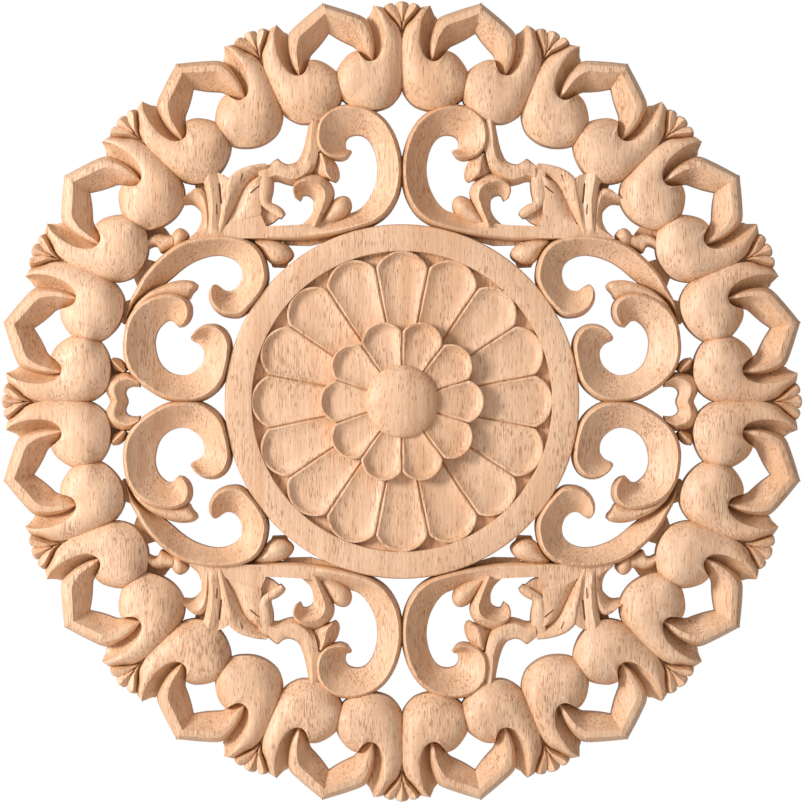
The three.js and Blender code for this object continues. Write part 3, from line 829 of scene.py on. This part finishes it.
# Each row of petals: the radii of the foot, of the middle of the round tip and of the
# tip, then the fall of the surface towards the foot and the depth of the dish
OUTER_PETAL = (20, 45.3, 55.7, 1.0, 1.9)
INNER_PETAL = (8, 22.1, 30.3, 1.0, 2.1)
PETAL_OVERLAP = 1.004  # how much wider a petal is cut than its share of the round
RIM_FLAT = 0.85  # width of a petal's rim
RIM_ROUND = 0.35  # width and height of the rim's rounded edge
DISH_SLOPE = 2.6  # from the rim at the tip to the floor of the dish
GROOVE_WIDTH = 1.2
GROOVE_DEPTH = 1.5


def petal(count, height, form, rows, columns):
    """One petal with its foot towards the centre and its round tip outwards, dished
    inside a narrow rim, with half a knife groove down each side."""
    root, middle, tip, fall, bowl = form
    half = pi / count * PETAL_OVERLAP
    widest = middle * sin(half)
    top = []
    for i in range(columns + 1):
        angle = -half * cos(pi * i / columns)
        aside = middle * sin(angle)
        edge = middle * cos(angle) + sqrt((tip - middle) ** 2 - aside ** 2)
        for j in range(rows + 1):
            outward = sin(pi / 2 * j / rows) ** 0.8
            radius = root + (edge - root) * outward
            x, y = radius * sin(angle), radius * cos(angle)
            to_side = radius * sin(half - abs(angle))
            to_tip = tip - middle - hypot(x, max(y - middle, 0))
            spread = radius * sin(half)
            dish = bowl * (spread / widest) ** 1.2 * round_over(to_side / (0.7 * spread), 1)
            dish *= round_over((to_tip - RIM_FLAT) / DISH_SLOPE, 0.75)
            over = RIM_ROUND * (1 - round_over(to_tip / RIM_ROUND))
            groove = GROOVE_DEPTH * max(0.0, 1 - 2 * to_side / GROOVE_WIDTH)
            top.append((x, y, height - fall * (1 - outward) ** 1.5 - dish - over - groove))
    below = len(top)
    line = rows + 1
    faces = []
    for i in range(columns):
        for j in range(rows):
            a = i * line + j
            faces.append((a, a + 1, a + line + 1, a + line))
            faces.append(tuple(below + k for k in (a, a + line, a + line + 1, a + 1)))
    rim = list(range(line))
    rim += [i * line + rows for i in range(1, columns + 1)]
    rim += [columns * line + j for j in range(rows - 1, -1, -1)]
    rim += [i * line for i in range(columns - 1, 0, -1)]
    for a, b in zip(rim, rim[1:] + rim[:1]):
        faces.append((a, below + a, below + b, b))
    return top + [(x, y, BELOW) for x, y, _ in top], faces


def turned(profile, segments):
    """A closed ring or disc turned about the centre from (radius, height) points."""
    vertices, faces = [], []
    count = len(profile)
    for i in range(segments):
        angle = 2 * pi * i / segments
        aside, ahead = sin(angle), cos(angle)
        vertices += [(radius * aside, radius * ahead, height) for radius, height in profile]
    for i in range(segments):
        a, b = i * count, (i + 1) % segments * count
        for j in range(count):
            k = (j + 1) % count
            faces.append((a + j, a + k, b + k, b + j))
    return vertices, faces


def rosette_mesh():
    """The flat band, two rows of petals and the boss."""
    sizes = bpy.context.scene.carving
    inner = BAND_RADIUS - BAND_WIDTH
    ground = inner - RECESS_WIDTH
    top = sizes.band
    profile = [
        (ground, BELOW), (ground, sizes.recess), (inner - 0.2, sizes.recess), (inner, top - 0.5),
        (inner + 0.2, top - 0.1), (inner + 0.7, top), (BAND_RADIUS - 1.2, top),
        (BAND_RADIUS - 0.4, top - 0.25), (BAND_RADIUS, top - 0.9), (BAND_RADIUS + DRAFT, BELOW),
    ]
    boss = [(BOSS_EYE, BELOW), (BOSS_RADIUS, BELOW)]
    for i in range(BOSS_RINGS + 1):
        angle = i / BOSS_RINGS * pi / 2
        height = BOSS_FOOT + (DRAWN_THICKNESS - BOSS_FOOT) * sin(angle)
        boss.append((max(BOSS_RADIUS * cos(angle), BOSS_EYE), height))
    outer = petal(sizes.outer_petals, sizes.petal, OUTER_PETAL, rows=24, columns=20)
    inner_row = petal(sizes.inner_petals, sizes.inner_petal, INNER_PETAL, rows=18, columns=18)
    half_step = pi / sizes.inner_petals
    return joined("rosette", [
        mesh_of("band", turned(profile, BAND_SEGMENTS)),
        turned_copies("petals", mesh_of("petal", outer), sizes.outer_petals, 0.0),
        turned_copies("petals", mesh_of("petal", inner_row), sizes.inner_petals, half_step),
        mesh_of("boss", turned(boss, BOSS_SEGMENTS)),
    ])


class Value:
    """A shader socket with arithmetic. Each operation adds a Math node."""

    def __init__(self, shader, socket):
        self.shader, self.socket = shader, socket

    def _math(self, operation, a, b):
        return self.shader.add("ShaderNodeMath", {"operation": operation}, {0: a, 1: b})

    def __add__(self, other):
        return self._math("ADD", self, other)

    __radd__ = __add__

    def __sub__(self, other):
        return self._math("SUBTRACT", self, other)

    def __rsub__(self, other):
        return self._math("SUBTRACT", other, self)

    def __mul__(self, other):
        return self._math("MULTIPLY", self, other)

    def __gt__(self, other):
        return self._math("GREATER_THAN", self, other)

    def ramp(self, low, high):
        """0 below low, 1 above high and smooth between."""
        smooth = {"interpolation_type": "SMOOTHSTEP"}
        return self.shader.add("ShaderNodeMapRange", smooth, {0: self, 1: low, 2: high, 3: 0.0, 4: 1.0})


class Shader:
    """Builds a node material."""

    def __init__(self, name):
        self.material = bpy.data.materials.new(name)
        self.material.use_nodes = True
        self.tree = self.material.node_tree
        self.tree.nodes.clear()

    def add(self, kind, settings=None, inputs=None, output=0):
        """Adds a node and gives one of its outputs."""
        node = self.tree.nodes.new(kind)
        for key, value in (settings or {}).items():
            setattr(node, key, value)
        for key, value in (inputs or {}).items():
            if isinstance(value, Value):
                self.tree.links.new(value.socket, node.inputs[key])
            else:
                node.inputs[key].default_value = value
        return Value(self, node.outputs[output])

    def mix(self, factor, a, b):
        """Mixes two colours."""
        first, second = (value if isinstance(value, Value) else (*value, 1.0) for value in (a, b))
        return self.add("ShaderNodeMix", {"data_type": "RGBA"}, {0: factor, 6: first, 7: second}, 2)

    def axis(self, vector, index):
        """One of the three parts of a vector."""
        return self.add("ShaderNodeSeparateXYZ", {}, {0: vector}, index)

    def noise(self, place, scale, detail, roughness=0.5):
        """Noise stretched along the axes, around a half."""
        stretched = self.add("ShaderNodeMapping", {}, {"Vector": place, "Scale": scale})
        inputs = {"Vector": stretched, "Scale": 1.0, "Detail": detail, "Roughness": roughness}
        return self.add("ShaderNodeTexNoise", {}, inputs)

    def finish(self, surface):
        """Sends a surface to the material's output."""
        self.tree.links.new(surface.socket, self.tree.nodes.new("ShaderNodeOutputMaterial").inputs[0])
        return self.material


# The glued joints between the boards, in metres across, and the step in tone at each
BOARD_JOINTS = (
    (-0.128, 0.3), (-0.092, -0.35), (-0.049, 0.12), (0.0017, -0.3), (0.0145, 0.1), (0.0242, 0.3),
    (0.0665, 0.13), (0.122, -0.35),
)


def wood():
    """Bare edge-glued wood with upright grain, open pores and boards of slightly
    different tone. Shade is painted into the hollows, the steep sides and the parts near the back."""
    made = bpy.data.materials.get("bare_wood")
    if made:
        return made
    colours = bpy.context.scene.wood_finish
    s = Shader("bare_wood")
    place = s.add("ShaderNodeTexCoord", output=3)
    across, depth = s.axis(place, 0), s.axis(place, 1)

    streaks = s.noise(place, (130, 60, 4), 3.0, 0.65)
    strands = s.noise(place, (700, 350, 22), 2.0, 0.6)
    fine = s.noise(place, (1900, 1200, 260), 2.0)
    dashes = s.noise(place, (2300, 1300, 300), 0.5)
    crowd = s.noise(place, (110, 80, 40), 2.0)
    pores = (dashes + (crowd - 0.5) * 0.45).ramp(0.61, 0.7)

    tone = sum((across > joint) * step for joint, step in BOARD_JOINTS)
    ground = streaks * 0.6 + strands * 0.75 - tone * 0.35 - 0.16
    colour = s.mix(ground.ramp(0.15, 0.85), tuple(colours.pale), tuple(colours.warm))
    colour = s.mix(fine.ramp(0.42, 0.68) * 0.6, colour, tuple(colours.warm))

    # Painted shade: steep sides, occluded hollows and parts near the back are mixed towards the hollow
    # colour.
    facing = 0.0 - s.axis(s.add("ShaderNodeTexCoord", output=1), 1)
    steep = 1.0 - facing.ramp(0.15, 0.8)
    open_share = s.add("ShaderNodeAmbientOcclusion", {"samples": 6}, {"Distance": 0.007}, 1)
    hidden = 1.0 - open_share.ramp(0.25, 0.95)
    low = (depth * 1000.0).ramp(-13.0, -5.0)
    painted_shade = (steep * 0.2 + hidden * 0.28 + low * 0.2).ramp(0.0, 1.25)
    colour = s.mix(painted_shade, colour, tuple(colours.hollow))
    colour = s.mix(pores * 0.55, colour, tuple(colours.pore))

    relief = fine * 0.6 + strands * 0.5 - pores * 0.8
    bump = s.add("ShaderNodeBump", {}, {"Strength": 0.35, "Distance": 0.0006, "Height": relief})
    roughness = colours.roughness + (fine - 0.5) * 0.12
    return s.finish(s.add(
        "ShaderNodeBsdfPrincipled", {}, {"Base Color": colour, "Roughness": roughness, "Normal": bump}
    ))


CARVED = {}  # the meshes of the ring, the field and the rosette, by name
PLANED = 4.0  # thickness of what is planed off below the back, in drawn millimetres
SMOOTH_ANGLE = radians(32)
FLOOR_HALF = 1.6
PICTURE_DEPTH = 0.008  # the view width is met this far in front of the back
# The lamps: name, place, share of the key light's power and size
LAMPS = (("key", (-1.12, -0.82, 0.3), 1.0, 0.4), ("top", (-0.1, -1.0, 1.0), 0.12, 0.9))


class APPLIQUE_OT_ring(bpy.types.Operator):
    """Carves the outer ring of arches, bulbs and crowns."""

    bl_idname = "applique.ring"
    bl_label = "Carve arch ring"

    def execute(self, context):
        CARVED["ring"] = turned_copies("ring", ring_motif(), context.scene.carving.arches, 0.0)
        return {"FINISHED"}


class APPLIQUE_OT_field(bpy.types.Operator):
    """Carves the scrolls, leaves and buds between ring and rosette."""

    bl_idname = "applique.field"
    bl_label = "Carve scrollwork"

    def execute(self, context):
        CARVED["field"] = field_meshes()
        return {"FINISHED"}


class APPLIQUE_OT_rosette(bpy.types.Operator):
    """Carves the banded rosette with its petals and boss."""

    bl_idname = "applique.rosette"
    bl_label = "Carve rosette"

    def execute(self, context):
        CARVED["rosette"] = rosette_mesh()
        return {"FINISHED"}


class APPLIQUE_OT_panel(bpy.types.Operator):
    """Joins the carved parts, planes the back and finishes the wood."""

    bl_idname = "applique.panel"
    bl_label = "Join and finish the applique"

    def execute(self, context):
        vertices, faces = plate(square(DRAWN_WIDTH), 0.0)
        below = mesh_of("below", ([(x, y, z / -BELOW * PLANED) for x, y, z in vertices], faces))
        mesh = joined("carving", [CARVED["rosette"], *CARVED["field"], CARVED["ring"]], below)
        stand = Matrix(((PLAN_SCALE, 0, 0, 0), (0, 0, -DEPTH_SCALE, 0), (0, PLAN_SCALE, 0, 0), (0, 0, 0, 1)))
        mesh.transform(stand)
        mesh.shade_smooth()
        mesh.set_sharp_from_angle(angle=SMOOTH_ANGLE)
        mesh.materials.clear()
        mesh.materials.append(wood())
        piece = bpy.data.objects.new("carved_applique", mesh)
        context.scene.collection.objects.link(piece)
        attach(piece, "root")
        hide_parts(NODE)
        return {"FINISHED"}


class APPLIQUE_OT_stage(bpy.types.Operator):
    """Sets the floor, the light and the camera."""

    bl_idname = "applique.stage"
    bl_label = "Set the stage"

    def execute(self, context):
        scene = context.scene
        stage = scene.stage_settings
        scene.view_settings.view_transform = "Standard"

        floor_mesh = bpy.data.meshes.new("floor")
        corners = [(x, y, -stage.floor_drop) for x, y in square(FLOOR_HALF)]
        floor_mesh.from_pydata(corners, [], [(0, 1, 2, 3)])
        floor = bpy.data.objects.new("floor", floor_mesh)
        scene.collection.objects.link(floor)
        pale = Shader("pale_floor")
        matt = pale.add("ShaderNodeBsdfPrincipled", {}, {"Base Color": (0.9, 0.9, 0.9, 1), "Roughness": 0.9})
        floor_mesh.materials.append(pale.finish(matt))

        world = bpy.data.worlds.new("studio")
        world.use_nodes = True
        tree = world.node_tree
        tree.nodes.clear()
        choose = tree.nodes.new("ShaderNodeMixShader")
        for socket, strength in ((1, stage.fill), (2, 1.0)):
            white = tree.nodes.new("ShaderNodeBackground")
            white.inputs[0].default_value = (1, 1, 1, 1)
            white.inputs[1].default_value = strength
            tree.links.new(white.outputs[0], choose.inputs[socket])
        seen = tree.nodes.new("ShaderNodeLightPath")
        tree.links.new(seen.outputs["Is Camera Ray"], choose.inputs[0])
        tree.links.new(choose.outputs[0], tree.nodes.new("ShaderNodeOutputWorld").inputs[0])
        scene.world = world

        for name, place, share, size in LAMPS:
            lamp = bpy.data.lights.new(name, "AREA")
            lamp.energy, lamp.size = stage.key_power * share, size
            light = bpy.data.objects.new(name, lamp)
            light.location = place
            light.rotation_euler = Vector(place).to_track_quat("Z", "Y").to_euler()
            scene.collection.objects.link(light)

        camera_data = bpy.data.cameras.new("camera")
        camera = bpy.data.objects.new("camera", camera_data)
        camera.location = (0, -stage.distance, 0)
        camera.rotation_euler = (pi / 2, 0, 0)
        camera_data.lens = camera_data.sensor_width * (stage.distance - PICTURE_DEPTH) / VIEW_WIDTH
        scene.collection.objects.link(camera)
        scene.camera = camera
        return {"FINISHED"}


class APPLIQUE_PT_panel(bpy.types.Panel):
    """Lists the applique's steps."""

    bl_label = "Applique"
    bl_idname = "APPLIQUE_PT_panel"
    bl_space_type = "VIEW_3D"
    bl_region_type = "UI"
    bl_category = "Applique"

    def draw(self, context):
        for operator in OPERATORS:
            self.layout.operator(operator.bl_idname)


OPERATORS = (APPLIQUE_OT_ring, APPLIQUE_OT_field, APPLIQUE_OT_rosette, APPLIQUE_OT_panel, APPLIQUE_OT_stage)
GROUPS = {"carving": CarvingSizes, "wood_finish": WoodFinish, "stage_settings": StageSettings}


def register():
    for group in GROUPS.values():
        bpy.utils.register_class(group)
    for name, group in GROUPS.items():
        setattr(bpy.types.Scene, name, PointerProperty(type=group))
    for kind in (*OPERATORS, APPLIQUE_PT_panel):
        bpy.utils.register_class(kind)


def unregister():
    for kind in (*OPERATORS, APPLIQUE_PT_panel):
        bpy.utils.unregister_class(kind)
    for name, group in GROUPS.items():
        delattr(bpy.types.Scene, name)
        bpy.utils.unregister_class(group)


def main():
    register()
    bpy.ops.applique.ring()
    bpy.ops.applique.field()
    bpy.ops.applique.rosette()
    bpy.ops.applique.panel()
    bpy.ops.applique.stage()


if __name__ == "__main__":
    main()
